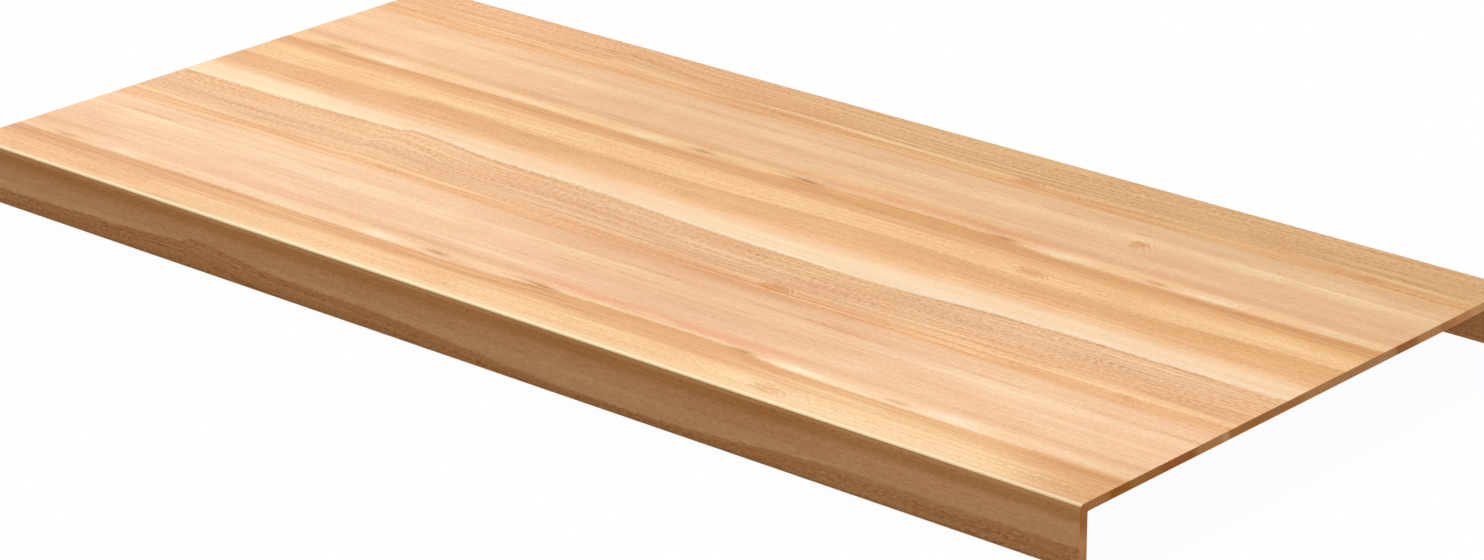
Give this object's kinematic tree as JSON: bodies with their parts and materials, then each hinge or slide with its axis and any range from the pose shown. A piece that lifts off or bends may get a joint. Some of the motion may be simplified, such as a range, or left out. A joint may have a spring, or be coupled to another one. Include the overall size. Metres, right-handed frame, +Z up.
{
  "type": "stair tread",
  "caption": "Wooden stair tread: a thin board with rounded nosings and an apron hanging from its front and rear edges, open underneath and at both ends.",
  "frame": {"origin": "middle of the rectangle on the floor that the two aprons stand on", "axes": "+X along the tread, +Y from the front apron to the rear apron, +Z up to the walking surface"},
  "size_m": [1.3, 0.61, 0.056],
  "materials": {
    "lacquered_wood": "satin lacquered, pale straight-grained beech tone"
  },
  "bodies": {
    "root": {"tread": "lacquered_wood"}
  },
  "joints": []
}
